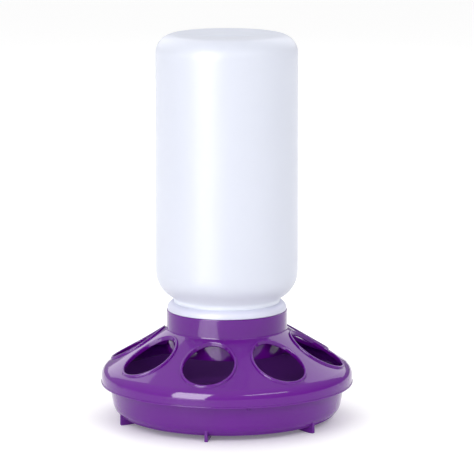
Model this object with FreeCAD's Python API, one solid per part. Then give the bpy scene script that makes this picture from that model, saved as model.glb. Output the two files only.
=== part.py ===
"""Free-standing poultry jar feeder: tray, perforated cover, neck ring and screw jar.

Millimetres. +Z is up, the feet stand on z = 0, and the axis of the jar is the Z axis.
Azimuths are measured from the front (-Y) towards +X.
"""
import math
import os

import FreeCAD
import Part

os.makedirs("parts", exist_ok=True)

V = FreeCAD.Vector
O = V(0, 0, 0)
UP = V(0, 0, 1)

# ---- sizes that drive the rest --------------------------------------------
BAND_R = 80.0              # outside of the cover, the widest part
NECK_R = 32.6              # jar's neck below the ring, root of the thread
BODY_R = 44.8              # jar's body at the shoulder
JAR_TOP = 245.1            # closed end of the jar
SEAT_Z = 27.0              # top of the tray's lip, where the cover rests
RIM_Z = 70.3               # top of the collar

# ---- walls ---------------------------------------------------------------
TRAY_WALL = 2.0
COVER_WALL = 1.8
CONE_WALL = 1.3            # cover's cone, thinner than its band and collar
JAR_WALL = 1.2
NECK_WALL = 1.6

# ---- clearances ----------------------------------------------------------
LIP_CLEARANCE = 0.4        # tray's lip inside the cover's band
RING_CLEARANCE = 0.3       # neck inside the ring
THREAD_GAP = 0.3           # gap along Z between the two flanks
CREST_CLEARANCE = 1.1      # jar's thread crest inside the collar's bore
ROOT_CLEARANCE = 1.3       # collar's thread crest outside the jar's neck

# ---- thread --------------------------------------------------------------
PITCH = 5.0
TURNS = 1.25
RIDGE_HEIGHT = 2.7         # jar's thread ridge above the neck
RIDGE_ROOT = 2.8           # width of a thread ridge where it leaves the wall
RIDGE_CREST = 1.1          # width of a thread ridge at its crest
THREAD_TOP = 4.45          # rim of the collar down to the end of the jar's thread
JAR_THREAD_Z = RIM_Z - THREAD_TOP - PITCH * TURNS   # start of the jar's thread
JAR_CREST_R = NECK_R + RIDGE_HEIGHT
COLLAR_CREST_R = NECK_R + ROOT_CLEARANCE
BORE_R = JAR_CREST_R + CREST_CLEARANCE   # inside of the collar and skirt

# ---- heights -------------------------------------------------------------
TRAY_BOTTOM = 2.5                      # underside of the tray above the floor
LIP_DEPTH = 2.4                        # depth of the tray's lip
LIP_BOTTOM = SEAT_Z - LIP_DEPTH        # underside of the tray's lip
BAND_BOTTOM = SEAT_Z - 3.7             # lower edge of the cover
CONE_Z = SEAT_Z + 7.7                  # height of the cone's face at CONE_R
SKIRT_BOTTOM = RIM_Z - 26.0            # lower edge of the tube that meters the feed
MOUTH_LAND = 1.2                       # plain neck below the jar's thread
MOUTH_Z = JAR_THREAD_Z - RIDGE_ROOT / 2 - MOUTH_LAND   # lower edge of the jar's mouth
RING_TOP = RIM_Z + 5.1                 # top of the neck ring

# ---- radii ---------------------------------------------------------------
CONE_R = BAND_R - 3.7                  # radius at which CONE_Z is measured
CONE_ANGLE = 31.5                      # slope of the cone, degrees
SHOULDER_FILLET = 7.6                  # rounding between the cone and the band
EDGE_STEP = 0.35                       # lip round the band's lower edge
EDGE_HEIGHT = 1.0
SEAT_WIDTH = 2.0                       # ledge inside the band that rests on the tray's lip
COLLAR_R = BORE_R + COVER_WALL         # outside of the collar and skirt
WALL_R = BAND_R - 7.76                 # outside of the tray's wall at WALL_Z
WALL_Z = 9.0
WALL_DRAFT = 0.189                     # lean of the tray's wall, mm per mm
CORNER_R = 9.5                         # rounding of the tray's lower corner
RING_R = COLLAR_R - 0.4                # outside of the neck ring
RING_ROUND = 4.4                       # rounding of the neck ring's outer shoulder
UPPER_NECK_R = NECK_R + 1.0            # jar's neck above the ring
BODY_TOP_R = BODY_R - 0.3              # jar's body below the closed end
SHOULDER_R = 18.0                      # rounding of the jar's shoulder
NECK_FILLET = 3.0                      # hollow curve from the neck into the shoulder
NECK_SHOW = 1.03                       # straight neck between the ring and that curve
SHOULDER_OUT = UPPER_NECK_R + NECK_FILLET - (BODY_R - SHOULDER_R)
SHOULDER_DROP = math.sqrt((SHOULDER_R + NECK_FILLET) ** 2 - SHOULDER_OUT ** 2)
BODY_Z = RING_TOP + NECK_SHOW + SHOULDER_DROP   # shoulder becomes the straight body
HEEL_R = 11.5                          # rounding of the jar's closed end
STAND_WIDTH = 3.0                      # level ring that the jar stands on when it is filled
DISH_R = 10.0                          # flat middle of the closed end
DISH_DEPTH = 0.8                       # how far that middle lies below the level ring

# ---- feed holes ----------------------------------------------------------
HOLE_COUNT = 8
HOLE_SHARE = 0.383                     # radius of a hole over the width of the cone
HOLE_R = (BAND_R - COLLAR_R) * HOLE_SHARE   # cut straight down
HOLE_INSET = 1.2                       # holes lie this much inside the cone's middle
HOLE_PITCH_R = (BAND_R + COLLAR_R) / 2 - HOLE_INSET
HOLE_AZIMUTH = -11.2
BEAD_WIDTH = 1.6
BEAD_RISE = 1.0                        # bead above the cone
BEAD_DROP = 0.6                        # lip below the cone
BEAD_FILLET = 0.6

# ---- tray details --------------------------------------------------------
FOOT_COUNT = 6
FOOT_AZIMUTH = -10.35
FOOT_OUTER = BAND_R - 8.7
FOOT_LENGTH = 15.0
FOOT_THICK = 2.1
FOOT_TOP = 8.0                         # top of a foot above the tray's underside
FOOT_PAD = 3.0                         # level part of the foot, at its outer end
FOOT_LIFT = 1.0                        # rise of the foot's lower edge inwards
RIB_R = BAND_R - 18.0                  # inside of the floor rib
RIB_WIDTH = 2.0
RIB_RISE = 3.2
SPREADER_R = 24.0                      # low cone that spreads the feed
SPREADER_RISE = 11.0
SPREADER_TOP_R = 5.0
PIP_COUNT = 3
PIP_AZIMUTH = 10.5
PIP_R = 1.0
PIP_RISE = 1.3
PIP_DROP = 1.6                         # middle of a pip below the cover's lower edge
PIP_Z = BAND_BOTTOM - PIP_DROP


def place(radius, azimuth, z=0.0):
    a = math.radians(azimuth)
    return V(radius * math.sin(a), -radius * math.cos(a), z)


def rounded(points):
    """Closed (radius, z, fillet) outline in the XZ plane, turned about Z."""
    n = len(points)
    cuts = []
    for i in range(n):
        p = V(points[i][0], 0, points[i][1])
        a = V(points[i - 1][0], 0, points[i - 1][1])
        b = V(points[(i + 1) % n][0], 0, points[(i + 1) % n][1])
        fillet = points[i][2]
        if fillet == 0:
            cuts.append((p, None, p))
            continue
        u = (a - p).normalize()
        w = (b - p).normalize()
        half = u.getAngle(w) / 2
        reach = fillet / math.tan(half)
        middle = (u + w).normalize()
        centre = p + middle * (fillet / math.sin(half))
        cuts.append((p + u * reach, centre - middle * fillet, p + w * reach))
    edges = []
    for i in range(n):
        start, mid, end = cuts[i]
        if mid is not None:
            edges.append(Part.Arc(start, mid, end).toShape())
        after = cuts[(i + 1) % n][0]
        if end.distanceToPoint(after) > 1e-6:
            edges.append(Part.LineSegment(end, after).toShape())
    face = Part.Face(Part.Wire(edges))
    return face.revolve(O, UP, 360)


def ridge(root_r, crest_r, z_start):
    """One helical thread ridge, its middle starting at z_start on the +X side."""
    bite = 0.5 if crest_r > root_r else -0.5
    r0 = root_r - bite
    corners = [
        V(r0, 0, z_start - RIDGE_ROOT / 2),
        V(crest_r, 0, z_start - RIDGE_CREST / 2),
        V(crest_r, 0, z_start + RIDGE_CREST / 2),
        V(r0, 0, z_start + RIDGE_ROOT / 2),
    ]
    section = Part.makePolygon(corners + [corners[0]])
    helix = Part.makeHelix(PITCH, PITCH * TURNS, root_r)
    helix.translate(V(0, 0, z_start))
    return Part.Wire(helix).makePipeShell([section], True, True)


def cone_z(radius):
    return CONE_Z + (CONE_R - radius) * math.tan(math.radians(CONE_ANGLE))


def tray_wall_r(z):
    return WALL_R + (z - WALL_Z) * WALL_DRAFT


def foot(azimuth):
    """Radial fin standing on a level pad at its outer end."""
    inner = FOOT_OUTER - FOOT_LENGTH
    top = TRAY_BOTTOM + FOOT_TOP
    side = -FOOT_THICK / 2
    corners = [
        V(side, -FOOT_OUTER, 0),
        V(side, -FOOT_OUTER + FOOT_PAD, 0),
        V(side, -inner, FOOT_LIFT),
        V(side, -inner, top),
        V(side, -FOOT_OUTER, top),
    ]
    outline = Part.makePolygon(corners + [corners[0]])
    fin = Part.Face(outline).extrude(V(FOOT_THICK, 0, 0))
    fin = fin.makeFillet(0.5, [e for e in fin.Edges if e.BoundBox.YMax < 0.01 - FOOT_OUTER])
    fin.rotate(O, UP, azimuth)
    return fin


def make_tray():
    lip_r = BAND_R - COVER_WALL - LIP_CLEARANCE
    outer = rounded([
        (0, TRAY_BOTTOM, 0),
        (tray_wall_r(TRAY_BOTTOM), TRAY_BOTTOM, CORNER_R),
        (tray_wall_r(LIP_BOTTOM), LIP_BOTTOM, 0.8),
        (lip_r, LIP_BOTTOM, 0.5),
        (lip_r, SEAT_Z, 0.5),
        (0, SEAT_Z, 0),
    ])
    floor = TRAY_BOTTOM + TRAY_WALL
    rib_top = floor + RIB_RISE
    peak = floor + SPREADER_RISE
    inner_low = tray_wall_r(floor) - TRAY_WALL
    inner_high = tray_wall_r(SEAT_Z + 1) - TRAY_WALL
    hollow = rounded([
        (0, peak, 0),
        (SPREADER_TOP_R, peak, 2.5),
        (SPREADER_R, floor, 3.0),
        (RIB_R, floor, 0.4),
        (RIB_R, rib_top, 0.4),
        (RIB_R + RIB_WIDTH, rib_top, 0.4),
        (inner_low, rib_top - 1.2, 5.0),
        (inner_high, SEAT_Z + 1, 0),
        (0, SEAT_Z + 1, 0),
    ])
    under_cone = rounded([
        (0, 0, 0),
        (SPREADER_R + 0.5, 0, 0),
        (SPREADER_R - 1.0, TRAY_BOTTOM, 0),
        (SPREADER_TOP_R - 1.0, peak - TRAY_WALL, 0),
        (0, peak - TRAY_WALL, 0),
    ])
    body = outer
    for i in range(FOOT_COUNT):
        body = body.fuse(foot(FOOT_AZIMUTH + i * 360 / FOOT_COUNT))
    body = body.cut(hollow).cut(under_cone)
    for i in range(PIP_COUNT):
        azimuth = PIP_AZIMUTH + i * 360 / PIP_COUNT
        root = place(tray_wall_r(PIP_Z) - 1.0, azimuth, PIP_Z)
        pip = Part.makeCylinder(PIP_R, 1.0 + PIP_RISE, root, place(1, azimuth))
        tip = place(tray_wall_r(PIP_Z) + PIP_RISE, azimuth, PIP_Z)
        rim = [e for e in pip.Edges if e.CenterOfMass.distanceToPoint(tip) < 0.1]
        body = body.fuse(pip.makeFillet(0.8 * PIP_R, rim))
    return body.removeSplitter()


def cover_shell(under):
    outer = rounded([
        (0, BAND_BOTTOM, 0),
        (BAND_R, BAND_BOTTOM, 0.3),
        (BAND_R, BAND_BOTTOM + EDGE_HEIGHT, 0.25),
        (BAND_R - EDGE_STEP, BAND_BOTTOM + EDGE_HEIGHT, 0),
        (BAND_R - EDGE_STEP, cone_z(BAND_R), SHOULDER_FILLET),
        (COLLAR_R, cone_z(COLLAR_R), 1.2),
        (COLLAR_R, RIM_Z, 0.5),
        (0, RIM_Z, 0),
    ])
    seat_r = BAND_R - COVER_WALL - SEAT_WIDTH
    room = rounded([
        (0, 0, 0),
        (BAND_R - COVER_WALL, 0, 0),
        (BAND_R - COVER_WALL, SEAT_Z, 0),
        (seat_r, SEAT_Z, 0),
        (seat_r, cone_z(seat_r) - under - 0.4, 4.0),
        (COLLAR_R, cone_z(COLLAR_R) - under, 0.8),
        (COLLAR_R, SKIRT_BOTTOM, 0),
        (0, SKIRT_BOTTOM, 0),
    ])
    bore = Part.makeCylinder(BORE_R, RIM_Z, V(0, 0, 1))
    bore = bore.fuse(Part.makeCylinder(BORE_R + 1, 2, V(0, 0, RIM_Z)))
    return outer.cut(room).cut(bore)


def make_cover():
    under = CONE_WALL / math.cos(math.radians(CONE_ANGLE))
    shell = cover_shell(under)
    low_r = COLLAR_R - 1
    high_r = BAND_R - 2
    rise = BEAD_RISE / math.cos(math.radians(CONE_ANGLE))
    drop = under + BEAD_DROP
    layer = rounded([
        (low_r, cone_z(low_r) - drop, 0),
        (high_r, cone_z(high_r) - drop, 0),
        (high_r, cone_z(high_r) + rise, 0),
        (low_r, cone_z(low_r) + rise, 0),
    ])
    thread = ridge(BORE_R, COLLAR_CREST_R, JAR_THREAD_Z + flank_offset())
    shell = shell.fuse(thread)
    centre = place(HOLE_PITCH_R, 0)
    opening = Part.makeCylinder(HOLE_R + BEAD_WIDTH / 2, RIM_Z, centre)
    bead = Part.makeCylinder(HOLE_R + BEAD_WIDTH, RIM_Z, centre)
    bead = bead.cut(Part.makeCylinder(HOLE_R, RIM_Z, centre)).common(layer).Solids[0]
    ends = [e for e in bead.Edges if e.Length > 3 * HOLE_R]
    bead = bead.makeFillet(BEAD_FILLET, ends).Solids[0]
    openings = []
    beads = []
    for i in range(HOLE_COUNT):
        azimuth = HOLE_AZIMUTH + i * 360 / HOLE_COUNT
        openings.append(opening.copy().rotate(O, UP, azimuth))
        beads.append(bead.copy().rotate(O, UP, azimuth))
    return shell.cut(openings).fuse(beads).removeSplitter()


def flank_offset():
    """Distance along Z between the two ridges' middles when the jar is home."""
    lean_jar = (RIDGE_ROOT - RIDGE_CREST) / 2 / (JAR_CREST_R - NECK_R)
    lean_collar = (RIDGE_ROOT - RIDGE_CREST) / 2 / (BORE_R - COLLAR_CREST_R)
    at_collar_crest = RIDGE_ROOT / 2 - (COLLAR_CREST_R - NECK_R) * lean_jar + RIDGE_CREST / 2
    at_jar_crest = RIDGE_CREST / 2 + RIDGE_ROOT / 2 - (BORE_R - JAR_CREST_R) * lean_collar
    return max(at_collar_crest, at_jar_crest) + THREAD_GAP


def make_neck_ring():
    return rounded([
        (NECK_R + RING_CLEARANCE, RIM_Z, 0.2),
        (RING_R, RIM_Z, 0.4),
        (RING_R, RING_TOP, RING_ROUND),
        (NECK_R + RING_CLEARANCE, RING_TOP, 0),
    ])


def jar_outline(inset, neck_inset, mouth, heel):
    """Outline of the jar moved inwards by a wall; inset 0 is the outside."""
    body_r = BODY_R - inset
    shoulder = SHOULDER_R - inset
    centre_r = BODY_R - SHOULDER_R
    neck = UPPER_NECK_R - neck_inset
    fillet = NECK_FILLET + neck_inset
    fillet_r = neck + fillet
    reach = shoulder + fillet
    meet = BODY_Z - math.sqrt(reach ** 2 - (fillet_r - centre_r) ** 2)
    share = shoulder / reach
    join = V(centre_r + (fillet_r - centre_r) * share, 0, BODY_Z - (BODY_Z - meet) * share)
    bend_in = math.pi - math.atan2(BODY_Z - meet, fillet_r - centre_r)
    lean = (math.pi + bend_in) / 2
    hollow = V(fillet_r + fillet * math.cos(lean), 0, meet + fillet * math.sin(lean))
    turn = math.atan2(BODY_Z - join.z, join.x - centre_r) / 2
    mid = V(centre_r + shoulder * math.cos(turn), 0, BODY_Z - shoulder * math.sin(turn))
    top = JAR_TOP - inset
    top_r = BODY_TOP_R - inset
    bend = math.sqrt(0.5) * heel
    points = [
        V(0, 0, mouth),
        V(NECK_R - neck_inset, 0, mouth),
        V(NECK_R - neck_inset, 0, RING_TOP),
        V(neck, 0, RING_TOP),
        V(neck, 0, meet),
    ]
    edges = []
    for a, b in zip(points[:-1], points[1:]):
        if a.distanceToPoint(b) > 1e-6:
            edges.append(Part.LineSegment(a, b).toShape())
    edges.append(Part.Arc(points[-1], hollow, join).toShape())
    edges.append(Part.Arc(join, mid, V(body_r, 0, BODY_Z)).toShape())
    side_end = V(top_r, 0, top - heel)
    heel_mid = V(top_r - heel + bend, 0, top - heel + bend)
    heel_end = V(top_r - heel, 0, top)
    edges.append(Part.LineSegment(V(body_r, 0, BODY_Z), side_end).toShape())
    edges.append(Part.Arc(side_end, heel_mid, heel_end).toShape())
    closing = [
        heel_end,
        V(top_r - heel - STAND_WIDTH, 0, top),
        V(DISH_R, 0, top - DISH_DEPTH),
        V(0, 0, top - DISH_DEPTH),
        V(0, 0, mouth),
    ]
    for a, b in zip(closing[:-1], closing[1:]):
        edges.append(Part.LineSegment(a, b).toShape())
    return Part.Face(Part.Wire(edges)).revolve(O, UP, 360)


def make_jar():
    outside = jar_outline(0, 0, MOUTH_Z, HEEL_R)
    inside = jar_outline(JAR_WALL, NECK_WALL, MOUTH_Z - 1, HEEL_R - JAR_WALL)
    shell = outside.cut(inside)
    thread = ridge(NECK_R, JAR_CREST_R, JAR_THREAD_Z)
    return shell.fuse(thread).removeSplitter()


def export(name, shape):
    solid = shape if shape.ShapeType == "Solid" else shape.Solids[0]
    print(name, len(shape.Solids), solid.isValid(), round(solid.Volume, 1), solid.BoundBox)
    solid.exportStep("parts/" + name + ".step")


export("tray", make_tray())
export("cover", make_cover())
export("neck_ring", make_neck_ring())
export("jar", make_jar())
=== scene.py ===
"""Jar feeder: finishes, the jar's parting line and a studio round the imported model."""
import math

import bmesh
import bpy
from bpy.props import FloatProperty, FloatVectorProperty, PointerProperty
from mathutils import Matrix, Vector


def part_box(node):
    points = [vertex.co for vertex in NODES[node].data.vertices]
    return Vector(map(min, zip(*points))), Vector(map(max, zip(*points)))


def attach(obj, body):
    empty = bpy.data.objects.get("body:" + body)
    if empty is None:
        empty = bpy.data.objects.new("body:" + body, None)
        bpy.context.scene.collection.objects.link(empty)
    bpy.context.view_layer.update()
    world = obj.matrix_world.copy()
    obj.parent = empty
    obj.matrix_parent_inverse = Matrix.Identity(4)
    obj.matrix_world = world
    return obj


bl_info = {
    "name": "Poultry Jar Feeder",
    "version": (1, 0, 0),
    "blender": (4, 5, 0),
    "location": "View3D > Sidebar > Feeder",
    "description": "Finishes and studio for a poultry jar feeder",
    "category": "Object",
}

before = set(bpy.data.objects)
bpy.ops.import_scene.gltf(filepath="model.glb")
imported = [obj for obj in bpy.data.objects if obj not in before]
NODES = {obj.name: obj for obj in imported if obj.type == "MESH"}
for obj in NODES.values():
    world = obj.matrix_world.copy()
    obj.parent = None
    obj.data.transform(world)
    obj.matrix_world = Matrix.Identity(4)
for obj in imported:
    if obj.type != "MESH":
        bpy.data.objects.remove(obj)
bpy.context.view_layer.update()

# materials
PLASTIC_IOR = 1.42
JAR_IOR = 1.5
WALL_DRAFT = 0.189           # lean of the dish's wall, run over rise
SATIN_SHARE = 0.892          # inside of the dish at its floor over half the tray's width
FLOOR_Z = 0.0035             # between the underside of the dish and its floor
PAINTED_LIGHT_REACH = 0.012          # painted light: the jar is whitened up to this far above the neck ring
PAINTED_LIGHT_GAIN = 1.3           # how much lighter the painted light makes the jar there

# the jar's parting line
HEEL = 0.0115                # rounding of the jar's closed end
LINE_START = 0.002           # the line starts this far above the neck ring
SIDE_STEPS = 70
HEEL_STEPS = 12
END_STEPS = 20
SECTION_STEPS = 6            # around the half-round section
LINE_HALF_WIDTH = 0.00035
LINE_HEIGHT = 0.00009
WELD_HALF_WIDTH = 0.0006     # added at the middle of the closed end
WELD_HEIGHT = 0.00025
WELD_REACH = 0.02            # from the middle to where the weld has died out
LEVEL_ENOUGH = 0.9           # upward part of the normal where the end counts as level
LINE_SUNK = 0.00025          # root of the line under the jar's skin
TOP_GAP = 0.00002            # the line stays this far below the jar's highest point

# the studio
FLOOR_HALF = 6
AIM = Vector((0, 0, 0.07))   # what the lights point at
LIGHT_DISTANCE = 1.6
SOFTBOX_AZIMUTH = math.radians(-34)
SOFTBOX_ELEVATION = math.radians(22)
SOFTBOX_WIDTH = 0.9
SOFTBOX_HEIGHT = 1.4
CAMERA_SIDE = 0.0064         # camera to the right of the jar's axis
SENSOR_WIDTH = 36


class FeederFinish(bpy.types.PropertyGroup):
    purple: FloatVectorProperty(
        name="Purple", description="Colour of the moulded dish and cover",
        subtype="COLOR", size=3, min=0, max=1, default=(0.112, 0.003, 0.222))
    purple_roughness: FloatProperty(
        name="Purple roughness", description="Gloss of the moulded plastic",
        min=0, max=1, default=0.075, subtype="FACTOR")
    satin: FloatProperty(
        name="Satin inside", description="Extra roughness inside the dish",
        min=0, max=1, default=0.75, subtype="FACTOR")
    milk: FloatVectorProperty(
        name="Jar white", description="Colour of the milky jar",
        subtype="COLOR", size=3, min=0, max=1, default=(0.655, 0.685, 0.81))
    jar_roughness: FloatProperty(
        name="Jar roughness", description="Gloss of the blown jar",
        min=0, max=1, default=0.38, subtype="FACTOR")
    ring: FloatVectorProperty(
        name="Ring white", description="Colour of the neck ring",
        subtype="COLOR", size=3, min=0, max=1, default=(0.62, 0.63, 0.75))


class FeederStage(bpy.types.PropertyGroup):
    camera_distance: FloatProperty(
        name="Camera distance", description="Camera to the jar's axis, level",
        default=2.0604, subtype="DISTANCE", unit="LENGTH")
    camera_height: FloatProperty(
        name="Camera height", description="Camera above the floor",
        default=0.4807, subtype="DISTANCE", unit="LENGTH")
    camera_pitch: FloatProperty(
        name="Camera pitch", description="How far the camera looks down",
        default=math.radians(10.03), subtype="ANGLE", unit="ROTATION")
    lens: FloatProperty(
        name="Lens", description="Focal length in millimetres", default=251.6)


def tray_half_width():
    low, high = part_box("tray")
    return (high[0] - low[0]) / 2


def finish_of(context):
    return context.scene.feeder_finish


def new_material(name):
    mat = bpy.data.materials.new(name)
    mat.use_nodes = True
    nodes = mat.node_tree.nodes
    nodes.clear()
    out = nodes.new("ShaderNodeOutputMaterial")
    shader = nodes.new("ShaderNodeBsdfPrincipled")
    mat.node_tree.links.new(shader.outputs["BSDF"], out.inputs["Surface"])
    return mat, shader


def noise(mat, scale, detail, squash=(1, 1, 1)):
    nodes, links = mat.node_tree.nodes, mat.node_tree.links
    coords = nodes.new("ShaderNodeTexCoord")
    mapping = nodes.new("ShaderNodeMapping")
    mapping.inputs["Scale"].default_value = squash
    tex = nodes.new("ShaderNodeTexNoise")
    tex.inputs["Scale"].default_value = scale
    tex.inputs["Detail"].default_value = detail
    links.new(coords.outputs["Object"], mapping.inputs["Vector"])
    links.new(mapping.outputs["Vector"], tex.inputs["Vector"])
    return tex.outputs["Fac"]


def spread(mat, value, low, high):
    nodes, links = mat.node_tree.nodes, mat.node_tree.links
    ramp = nodes.new("ShaderNodeMapRange")
    ramp.inputs["To Min"].default_value = low
    ramp.inputs["To Max"].default_value = high
    links.new(value, ramp.inputs["Value"])
    return ramp.outputs["Result"]


def tint(mat, value, dark, light):
    nodes, links = mat.node_tree.nodes, mat.node_tree.links
    ramp = nodes.new("ShaderNodeValToRGB")
    ramp.color_ramp.elements[0].position = 0.3
    ramp.color_ramp.elements[0].color = (*dark, 1)
    ramp.color_ramp.elements[1].position = 0.7
    ramp.color_ramp.elements[1].color = (*light, 1)
    links.new(value, ramp.inputs["Fac"])
    return ramp.outputs["Color"]


def bump(mat, shader, value, height, strength):
    nodes, links = mat.node_tree.nodes, mat.node_tree.links
    node = nodes.new("ShaderNodeBump")
    node.inputs["Strength"].default_value = strength
    node.inputs["Distance"].default_value = height
    links.new(value, node.inputs["Height"])
    links.new(node.outputs["Normal"], shader.inputs["Normal"])


def math_node(mat, operation, a, b=None):
    """One Math node; a and b are sockets or plain numbers."""
    node = mat.node_tree.nodes.new("ShaderNodeMath")
    node.operation = operation
    for socket, value in zip(node.inputs, (a, b)):
        if isinstance(value, (int, float)):
            socket.default_value = value
        elif value is not None:
            mat.node_tree.links.new(value, socket)
    return node.outputs["Value"]


def scaled(colour, factor):
    return tuple(min(1, c * factor) for c in colour)


def moulded_purple(context, name):
    """Glossy plastic with a faint flow cloud; returns it, its shader and its grain."""
    props = finish_of(context)
    mat, shader = new_material(name)
    links = mat.node_tree.links
    cloud = noise(mat, scale=22, detail=3)
    links.new(tint(mat, cloud, scaled(props.purple, 0.94), scaled(props.purple, 1.05)),
              shader.inputs["Base Color"])
    gloss = props.purple_roughness
    grain = spread(mat, noise(mat, scale=240, detail=2), gloss * 0.85, gloss * 1.2)
    links.new(grain, shader.inputs["Roughness"])
    shader.inputs["IOR"].default_value = PLASTIC_IOR
    bump(mat, shader, noise(mat, scale=55, detail=1), height=0.00012, strength=0.35)
    return mat, shader, grain


def dish_plastic(context):
    """The same plastic, but satin inside the dish."""
    props = finish_of(context)
    mat, shader, grain = moulded_purple(context, "dish plastic")
    nodes, links = mat.node_tree.nodes, mat.node_tree.links
    coords = nodes.new("ShaderNodeTexCoord")
    split = nodes.new("ShaderNodeSeparateXYZ")
    links.new(coords.outputs["Object"], split.inputs["Vector"])
    radius = math_node(mat, "SQRT", math_node(
        mat, "ADD", math_node(mat, "MULTIPLY", split.outputs["X"], split.outputs["X"]),
        math_node(mat, "MULTIPLY", split.outputs["Y"], split.outputs["Y"])))
    rise = math_node(mat, "MULTIPLY", split.outputs["Z"], WALL_DRAFT)
    wall = math_node(mat, "ADD", rise, tray_half_width() * SATIN_SHARE)
    inside = math_node(mat, "LESS_THAN", radius, wall)
    above = math_node(mat, "GREATER_THAN", split.outputs["Z"], FLOOR_Z)
    mask = math_node(mat, "MULTIPLY", inside, above)
    satin = math_node(mat, "MULTIPLY", mask, props.satin)
    links.new(math_node(mat, "ADD", grain, satin), shader.inputs["Roughness"])
    return mat


def milky_jar(context):
    """Milky blown plastic, with painted light whitening it just above the neck ring."""
    props = finish_of(context)
    mat, shader = new_material("milky blown plastic")
    links = mat.node_tree.links
    cloud = noise(mat, scale=14, detail=3, squash=(1, 1, 0.25))
    # the plain milky colour with its random cloud
    clouded_milk = tint(mat, cloud, scaled(props.milk, 0.975), scaled(props.milk, 1.01))
    ring_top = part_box("neck_ring")[1][2]
    coords = mat.node_tree.nodes.new("ShaderNodeTexCoord")
    split = mat.node_tree.nodes.new("ShaderNodeSeparateXYZ")
    links.new(coords.outputs["Object"], split.inputs["Vector"])
    # painted light: whiter towards the neck ring, standing in for the glow in that
    # crease
    painted_neck_light = mat.node_tree.nodes.new("ShaderNodeMapRange")
    painted_neck_light.interpolation_type = "SMOOTHSTEP"
    painted_neck_light.inputs["From Min"].default_value = ring_top + PAINTED_LIGHT_REACH
    painted_neck_light.inputs["From Max"].default_value = ring_top
    links.new(split.outputs["Z"], painted_neck_light.inputs["Value"])
    blend = mat.node_tree.nodes.new("ShaderNodeMix")
    blend.data_type = "RGBA"
    links.new(painted_neck_light.outputs["Result"], blend.inputs["Factor"])
    links.new(clouded_milk, blend.inputs["A"])
    blend.inputs["B"].default_value = (*scaled(props.milk, PAINTED_LIGHT_GAIN), 1)
    links.new(blend.outputs["Result"], shader.inputs["Base Color"])
    grain = noise(mat, scale=160, detail=2)
    gloss = props.jar_roughness
    links.new(spread(mat, grain, gloss * 0.9, gloss * 1.15), shader.inputs["Roughness"])
    shader.inputs["IOR"].default_value = JAR_IOR
    shader.inputs["Subsurface Weight"].default_value = 0.4
    shader.inputs["Subsurface Radius"].default_value = (1.0, 1.0, 1.1)
    shader.inputs["Subsurface Scale"].default_value = 0.006
    ripple = noise(mat, scale=70, detail=2, squash=(1, 1, 0.4))
    bump(mat, shader, ripple, height=0.0002, strength=0.25)
    return mat


def soft_ring(context):
    """Smooth white plastic with a very fine grain."""
    props = finish_of(context)
    mat, shader = new_material("white ring plastic")
    links = mat.node_tree.links
    cloud = noise(mat, scale=60, detail=2)
    links.new(tint(mat, cloud, scaled(props.ring, 0.97), scaled(props.ring, 1.02)),
              shader.inputs["Base Color"])
    shader.inputs["Roughness"].default_value = 0.4
    bump(mat, shader, noise(mat, scale=600, detail=2), height=0.00002, strength=0.3)
    return mat


def dress(node, mat):
    """Gives a CAD node one material."""
    obj = NODES[node]
    obj.data.materials.clear()
    obj.data.materials.append(mat)


def studio_world():
    """White room: bright overhead, dimmer low down and towards +X and +Y."""
    world = bpy.data.worlds.new("studio")
    world.use_nodes = True
    nodes, links = world.node_tree.nodes, world.node_tree.links
    coords = nodes.new("ShaderNodeTexCoord")
    lean = nodes.new("ShaderNodeVectorMath")
    lean.operation = "DOT_PRODUCT"
    lean.inputs[1].default_value = (-0.3, -0.25, 1.0)
    level = nodes.new("ShaderNodeMapRange")
    level.inputs["From Min"].default_value = -0.25
    level.inputs["To Min"].default_value = 0.3
    level.inputs["To Max"].default_value = 1.15
    nodes["Background"].inputs["Color"].default_value = (1, 1, 1, 1)
    links.new(coords.outputs["Generated"], lean.inputs[0])
    links.new(lean.outputs["Value"], level.inputs["Value"])
    links.new(level.outputs["Result"], nodes["Background"].inputs["Strength"])
    return world


def area_light(name, azimuth, elevation, distance, width, height, power, look_at):
    """Rectangular soft light; azimuth from the front towards +X."""
    data = bpy.data.lights.new(name, "AREA")
    data.shape = "RECTANGLE"
    data.size = width
    data.size_y = height
    data.energy = power
    obj = bpy.data.objects.new(name, data)
    bpy.context.scene.collection.objects.link(obj)
    level = distance * math.cos(elevation)
    obj.location = look_at + Vector((
        level * math.sin(azimuth), -level * math.cos(azimuth),
        distance * math.sin(elevation)))
    aim = look_at - obj.location
    obj.rotation_euler = aim.to_track_quat("-Z", "Y").to_euler()
    return obj


def skin_point(obj, origin, direction):
    """Where a ray first meets a node's surface, and the surface's normal there."""
    hit, point, normal, _ = obj.ray_cast(Vector(origin), Vector(direction).normalized())
    if not hit:
        raise ValueError("no surface under the parting line")
    return point, normal


def jar_profile():
    """Points and normals up the jar's +X side and over to the middle of its end."""
    jar = NODES["jar"]
    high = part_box("jar")[1]
    ring_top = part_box("neck_ring")[1][2]
    start, top = ring_top + LINE_START, high[2]
    side = max(abs(vertex.co.x) for vertex in jar.data.vertices)
    reach = 2 * side
    found = []
    for i in range(SIDE_STEPS):
        z = start + (top - HEEL - start) * i / SIDE_STEPS
        found.append(skin_point(jar, (reach, 0, z), (-1, 0, 0)))
    bend = Vector((side - HEEL, 0, top - HEEL))
    for i in range(HEEL_STEPS):
        angle = math.radians(90) * i / HEEL_STEPS
        out = Vector((math.cos(angle), 0, math.sin(angle)))
        found.append(skin_point(jar, bend + out * reach, -out))
    for i in range(END_STEPS):
        x = (side - HEEL) * (1 - i / (END_STEPS - 1))
        found.append(skin_point(jar, (x, 0, top + reach), (0, 0, -1)))
    return found


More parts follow.
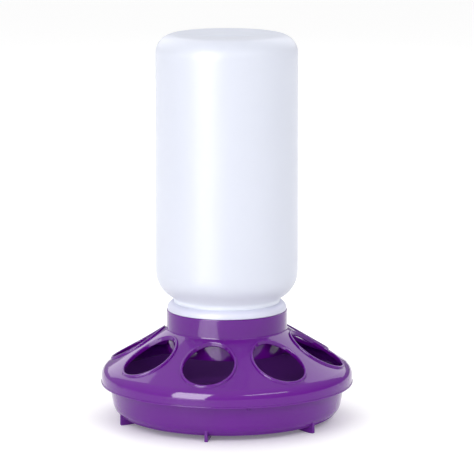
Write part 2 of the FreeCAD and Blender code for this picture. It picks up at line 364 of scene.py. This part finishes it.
def ridge_section(point, normal, half_width, height, ceiling):
    """Half-round section across Y, sunk a little into the skin and under the ceiling."""
    root = point - normal * LINE_SUNK
    ring = [root + Vector((0, -half_width, 0))]
    for i in range(SECTION_STEPS + 1):
        angle = math.pi * i / SECTION_STEPS
        across = Vector((0, -half_width * math.cos(angle), 0))
        ring.append(point + across + normal * (height * math.sin(angle)))
    ring.append(root + Vector((0, half_width, 0)))
    for corner in ring:
        corner.z = min(corner.z, ceiling)
    return ring


def parting_line(name):
    """Fine ridge where the halves of the jar's mould met, wider over the end."""
    side = jar_profile()
    mirror = [(Vector((-p.x, p.y, p.z)), Vector((-n.x, n.y, n.z))) for p, n in side[:-1]]
    line = side + mirror[::-1]
    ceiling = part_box("jar")[1][2] - TOP_GAP
    sections = []
    for point, normal in line:
        level = normal.z > LEVEL_ENOUGH
        weld = math.sqrt(max(0.0, 1 - abs(point.x) / WELD_REACH)) if level else 0.0
        sections.append(ridge_section(
            point, normal, LINE_HALF_WIDTH + WELD_HALF_WIDTH * weld,
            LINE_HEIGHT + WELD_HEIGHT * weld, ceiling))
    bm = bmesh.new()
    start = end = bm.faces.new([bm.verts.new(corner) for corner in sections[0]])
    for before, after in zip(sections[:-1], sections[1:]):
        inner = end
        grown = bmesh.ops.extrude_face_region(bm, geom=[inner])["geom"]
        end = next(item for item in grown if isinstance(item, bmesh.types.BMFace))
        if inner is not start:
            bmesh.ops.delete(bm, geom=[inner], context="FACES_ONLY")
        for vert in end.verts:
            gaps = [(vert.co - corner).length for corner in before]
            vert.co = after[gaps.index(min(gaps))]
    bmesh.ops.recalc_face_normals(bm, faces=bm.faces)
    for face in bm.faces:
        face.smooth = True
    mesh = bpy.data.meshes.new(name)
    bm.to_mesh(mesh)
    bm.free()
    obj = bpy.data.objects.new(name, mesh)
    bpy.context.scene.collection.objects.link(obj)
    return obj


def pale_floor():
    """Wide white floor that glows faintly, so that it stays white all round."""
    bm = bmesh.new()
    bmesh.ops.create_grid(bm, x_segments=1, y_segments=1, size=FLOOR_HALF)
    mesh = bpy.data.meshes.new("floor")
    bm.to_mesh(mesh)
    bm.free()
    floor = bpy.data.objects.new("floor", mesh)
    bpy.context.scene.collection.objects.link(floor)
    mat, shader = new_material("pale floor")
    shader.inputs["Base Color"].default_value = (0.93, 0.93, 0.93, 1)
    shader.inputs["Roughness"].default_value = 0.6
    shader.inputs["Emission Color"].default_value = (1, 1, 1, 1)
    shader.inputs["Emission Strength"].default_value = 0.14
    mesh.materials.append(mat)
    return floor


def soft_lights():
    """Softbox, back panels, right strip and floor card; shine and card only reflect."""
    area_light("left softbox", SOFTBOX_AZIMUTH, SOFTBOX_ELEVATION, LIGHT_DISTANCE,
               SOFTBOX_WIDTH, SOFTBOX_HEIGHT, power=6, look_at=AIM)
    shine = area_light("left softbox shine", SOFTBOX_AZIMUTH, SOFTBOX_ELEVATION,
                       LIGHT_DISTANCE + 0.01, SOFTBOX_WIDTH, SOFTBOX_HEIGHT,
                       power=42, look_at=AIM)
    shine.visible_diffuse = False
    for side in (-1, 1):
        area_light("back panel", side * math.radians(150), math.radians(30),
                   LIGHT_DISTANCE, width=0.9, height=1.1, power=4, look_at=AIM)
    card = area_light("left floor card", SOFTBOX_AZIMUTH, elevation=0, distance=0.36,
                      width=0.2, height=0.3, power=0.5, look_at=Vector((0, 0, 0.003)))
    card.rotation_euler = (math.pi, 0, SOFTBOX_AZIMUTH)
    card.visible_diffuse = False
    card.visible_camera = False
    area_light("right strip", math.radians(40), math.radians(36), LIGHT_DISTANCE,
               width=1.1, height=0.16, power=5, look_at=AIM)


def front_camera(props):
    data = bpy.data.cameras.new("camera")
    data.lens = props.lens
    data.sensor_width = SENSOR_WIDTH
    data.clip_end = 50
    camera = bpy.data.objects.new("camera", data)
    bpy.context.scene.collection.objects.link(camera)
    camera.location = (CAMERA_SIDE, -props.camera_distance, props.camera_height)
    camera.rotation_euler = (math.radians(90) - props.camera_pitch, 0, 0)
    return camera


class FEEDER_OT_stage(bpy.types.Operator):
    """Builds the floor, the soft lights and the camera"""
    bl_idname = "feeder.stage"
    bl_label = "Studio"

    def execute(self, context):
        pale_floor()
        context.scene.world = studio_world()
        context.scene.view_settings.view_transform = "Standard"
        soft_lights()
        context.scene.camera = front_camera(context.scene.feeder_stage)
        return {"FINISHED"}


class FEEDER_OT_dish_cover(bpy.types.Operator):
    """Finishes the dish and its cover in moulded purple plastic"""
    bl_idname = "feeder.dish_cover"
    bl_label = "Dish and cover"

    def execute(self, context):
        dress("tray", dish_plastic(context))
        dress("cover", moulded_purple(context, "cover plastic")[0])
        return {"FINISHED"}


class FEEDER_OT_jar(bpy.types.Operator):
    """Finishes the jar and its neck ring"""
    bl_idname = "feeder.jar"
    bl_label = "Jar and ring"

    def execute(self, context):
        milk = milky_jar(context)
        dress("jar", milk)
        dress("neck_ring", soft_ring(context))
        seam = parting_line("jar_parting_line")
        seam.data.materials.append(milk)
        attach(seam, "jar")
        return {"FINISHED"}


class FEEDER_PT_panel(bpy.types.Panel):
    """Lists the builders, and the settings of the finishes and the camera"""
    bl_idname = "FEEDER_PT_panel"
    bl_label = "Jar feeder"
    bl_space_type = "VIEW_3D"
    bl_region_type = "UI"
    bl_category = "Feeder"

    def draw(self, context):
        layout = self.layout
        for operator in OPERATORS:
            layout.operator(operator.bl_idname)
        for group in (context.scene.feeder_finish, context.scene.feeder_stage):
            for name in group.bl_rna.properties.keys():
                if name not in {"rna_type", "name"}:
                    layout.prop(group, name)


OPERATORS = (FEEDER_OT_stage, FEEDER_OT_dish_cover, FEEDER_OT_jar)
CLASSES = (FeederFinish, FeederStage, *OPERATORS, FEEDER_PT_panel)


def register():
    for cls in CLASSES:
        bpy.utils.register_class(cls)
    bpy.types.Scene.feeder_finish = PointerProperty(type=FeederFinish)
    bpy.types.Scene.feeder_stage = PointerProperty(type=FeederStage)


def unregister():
    del bpy.types.Scene.feeder_stage
    del bpy.types.Scene.feeder_finish
    for cls in reversed(CLASSES):
        bpy.utils.unregister_class(cls)


def main():
    register()
    bpy.ops.feeder.stage()
    bpy.ops.feeder.dish_cover()
    bpy.ops.feeder.jar()


if __name__ == "__main__":
    main()
